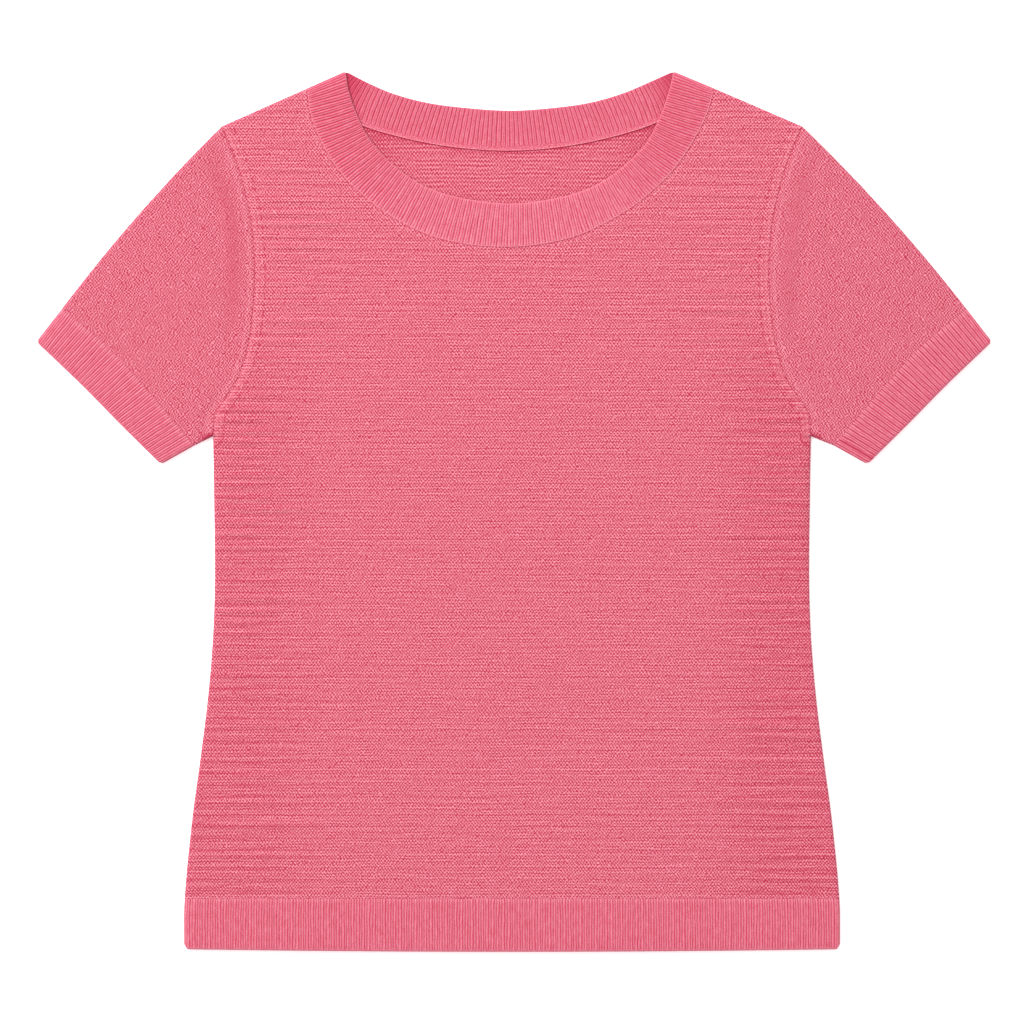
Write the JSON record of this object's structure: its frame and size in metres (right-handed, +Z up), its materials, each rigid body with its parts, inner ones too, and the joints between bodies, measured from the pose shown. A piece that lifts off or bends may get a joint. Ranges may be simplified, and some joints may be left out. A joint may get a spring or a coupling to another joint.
{
  "type": "short-sleeved crew neck sweater laid flat",
  "caption": "Fine-knit crew neck sweater with short set-in sleeves, rib neckband, rib cuffs and rib hem, laid flat with its front up.",
  "frame": {"origin": "middle of the flat underside, on the surface that the sweater lies on", "axes": "+X towards the wearer's left sleeve, +Y from the hem to the neck, +Z up off the surface"},
  "size_m": [0.6504, 0.6012, 0.005],
  "materials": {
    "body_knit": "matt fine cotton knit in pink",
    "sleeve_knit": "matt fine cotton knit in pink, coarser grain",
    "rib_knit": "matt cotton rib in pink"
  },
  "bodies": {
    "root": {"front": "body_knit", "back": "body_knit", "sleeve_left": "sleeve_knit", "sleeve_right": "sleeve_knit", "cuff_left": "rib_knit", "cuff_right": "rib_knit", "neckband": "rib_knit", "hem_front": "rib_knit", "hem_back": "rib_knit"}
  },
  "joints": []
}
